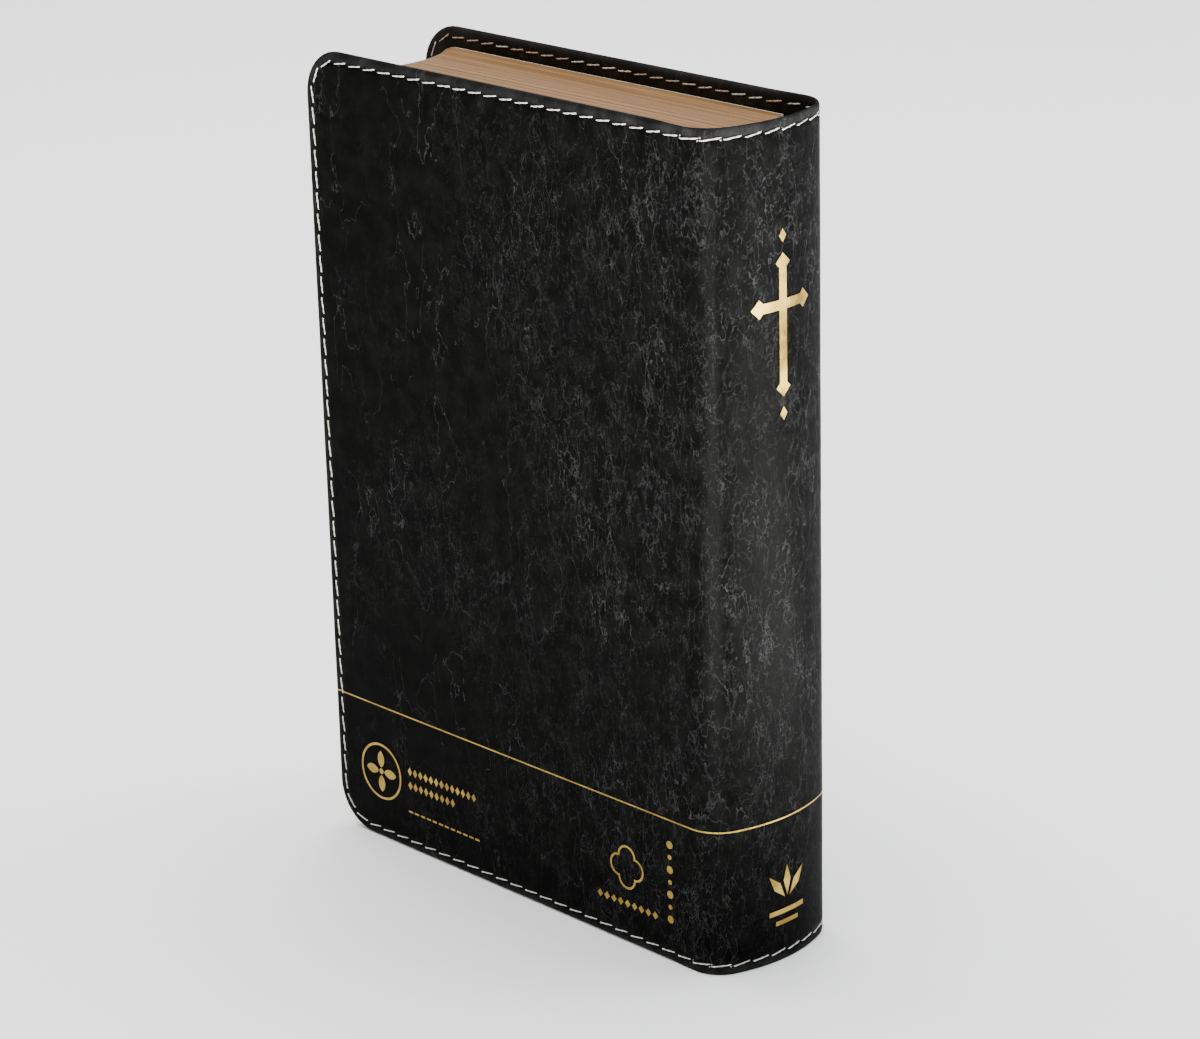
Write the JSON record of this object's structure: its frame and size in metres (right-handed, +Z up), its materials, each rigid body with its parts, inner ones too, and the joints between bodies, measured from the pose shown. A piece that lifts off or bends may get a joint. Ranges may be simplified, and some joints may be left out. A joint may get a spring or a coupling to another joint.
{
  "type": "bible",
  "caption": "Compact leather-bound book of scripture: two hinged stitched covers, a rounded hollow spine and a gilt-edged text block whose outer sections fan open.",
  "frame": {"origin": "middle of the footprint of the closed book standing on its tail, on the surface it stands on", "axes": "+Z up from tail to head, +X towards the spine, +Y towards the front cover"},
  "size_m": [0.113, 0.033, 0.165],
  "materials": {
    "black_leather": "glossy, finely creased",
    "card": "matt",
    "stitch_thread": "twisted thread",
    "gold_foil": "stamped foil",
    "lining_paper": "matt",
    "linen": "open weave",
    "end_band_silk": "worked silk",
    "gilt_pages": "gilt edges, thin paper faces",
    "endpaper": "smooth matt"
  },
  "bodies": {
    "spine": {"spine_leather": "black_leather", "spine_inlay": "card", "spine_stitching": "stitch_thread", "spine_gold_rule": "gold_foil", "spine_cross_ornament": "gold_foil", "spine_foot_ornament": "gold_foil", "spine_lining": "lining_paper", "mull": "linen", "sewing_tapes": "linen", "section_sewing": "stitch_thread", "head_band": "end_band_silk", "tail_band": "end_band_silk", "section_06": "gilt_pages", "section_07": "gilt_pages", "section_08": "gilt_pages", "section_09": "gilt_pages", "section_10": "gilt_pages", "section_11": "gilt_pages"},
    "front_cover": {"front_cover_leather": "black_leather", "front_board": "card", "front_infill": "card", "front_pastedown": "endpaper", "front_stitching": "stitch_thread", "front_gold_rule": "gold_foil"},
    "back_cover": {"back_cover_leather": "black_leather", "back_board": "card", "back_infill": "card", "back_pastedown": "endpaper", "back_stitching": "stitch_thread", "back_gold_rule": "gold_foil", "back_round_ornament": "gold_foil", "back_caption_rows": "gold_foil", "back_quatrefoil": "gold_foil", "back_bead_column": "gold_foil"},
    "front_flyleaf": {"front_flyleaf": "endpaper"},
    "back_flyleaf": {"back_flyleaf": "endpaper"},
    "section_01": {"section_01": "gilt_pages"},
    "section_02": {"section_02": "gilt_pages"},
    "section_03": {"section_03": "gilt_pages"},
    "section_04": {"section_04": "gilt_pages"},
    "section_05": {"section_05": "gilt_pages"},
    "section_12": {"section_12": "gilt_pages"},
    "section_13": {"section_13": "gilt_pages"},
    "section_14": {"section_14": "gilt_pages"},
    "section_15": {"section_15": "gilt_pages"},
    "section_16": {"section_16": "gilt_pages"}
  },
  "joints": [
    {"name": "front_cover_hinge", "type": "hinge", "parent": "spine", "child": "front_cover", "pos_m": [0.04679, 0.0166, 0.0825], "axis": [0, 0, -1], "range_deg": [0, 175]},
    {"name": "back_cover_hinge", "type": "hinge", "parent": "spine", "child": "back_cover", "pos_m": [0.04679, -0.0166, 0.0825], "axis": [0, 0, 1], "range_deg": [0, 175]},
    {"name": "front_flyleaf_fold", "type": "hinge", "parent": "spine", "child": "front_flyleaf", "pos_m": [0.0443, 0.0142, 0.0825], "axis": [0, 0, -1], "range_deg": [0, 105]},
    {"name": "section_01_fold", "type": "hinge", "parent": "spine", "child": "section_01", "pos_m": [0.04454, 0.01395, 0.0825], "axis": [0, 0, -1], "range_deg": [0, 81]},
    {"name": "section_02_fold", "type": "hinge", "parent": "spine", "child": "section_02", "pos_m": [0.04547, 0.01221, 0.0825], "axis": [0, 0, -1], "range_deg": [0, 43]},
    {"name": "section_03_fold", "type": "hinge", "parent": "spine", "child": "section_03", "pos_m": [0.04621, 0.01046, 0.0825], "axis": [0, 0, -1], "range_deg": [0, 25]},
    {"name": "section_04_fold", "type": "hinge", "parent": "spine", "child": "section_04", "pos_m": [0.04677, 0.00872, 0.0825], "axis": [0, 0, -1], "range_deg": [0, 16]},
    {"name": "section_05_fold", "type": "hinge", "parent": "spine", "child": "section_05", "pos_m": [0.04727, 0.00698, 0.0825], "axis": [0, 0, -1], "range_deg": [0, 10]},
    {"name": "back_flyleaf_fold", "type": "hinge", "parent": "spine", "child": "back_flyleaf", "pos_m": [0.0443, -0.0142, 0.0825], "axis": [0, 0, 1], "range_deg": [0, 105]},
    {"name": "section_16_fold", "type": "hinge", "parent": "spine", "child": "section_16", "pos_m": [0.04454, -0.01395, 0.0825], "axis": [0, 0, 1], "range_deg": [0, 81]},
    {"name": "section_15_fold", "type": "hinge", "parent": "spine", "child": "section_15", "pos_m": [0.04547, -0.01221, 0.0825], "axis": [0, 0, 1], "range_deg": [0, 43]},
    {"name": "section_14_fold", "type": "hinge", "parent": "spine", "child": "section_14", "pos_m": [0.04621, -0.01046, 0.0825], "axis": [0, 0, 1], "range_deg": [0, 25]},
    {"name": "section_13_fold", "type": "hinge", "parent": "spine", "child": "section_13", "pos_m": [0.04677, -0.00872, 0.0825], "axis": [0, 0, 1], "range_deg": [0, 16]},
    {"name": "section_12_fold", "type": "hinge", "parent": "spine", "child": "section_12", "pos_m": [0.04727, -0.00698, 0.0825], "axis": [0, 0, 1], "range_deg": [0, 10]}
  ],
  "couplings": [
    {"joint": "front_flyleaf_fold", "follows": "front_cover_hinge", "ratio": 0.6},
    {"joint": "section_01_fold", "follows": "front_cover_hinge", "ratio": 0.46},
    {"joint": "section_02_fold", "follows": "front_cover_hinge", "ratio": 0.245},
    {"joint": "section_03_fold", "follows": "front_cover_hinge", "ratio": 0.14},
    {"joint": "section_04_fold", "follows": "front_cover_hinge", "ratio": 0.088},
    {"joint": "section_05_fold", "follows": "front_cover_hinge", "ratio": 0.057},
    {"joint": "back_flyleaf_fold", "follows": "back_cover_hinge", "ratio": 0.6},
    {"joint": "section_16_fold", "follows": "back_cover_hinge", "ratio": 0.46},
    {"joint": "section_15_fold", "follows": "back_cover_hinge", "ratio": 0.245},
    {"joint": "section_14_fold", "follows": "back_cover_hinge", "ratio": 0.14},
    {"joint": "section_13_fold", "follows": "back_cover_hinge", "ratio": 0.088},
    {"joint": "section_12_fold", "follows": "back_cover_hinge", "ratio": 0.057}
  ]
}
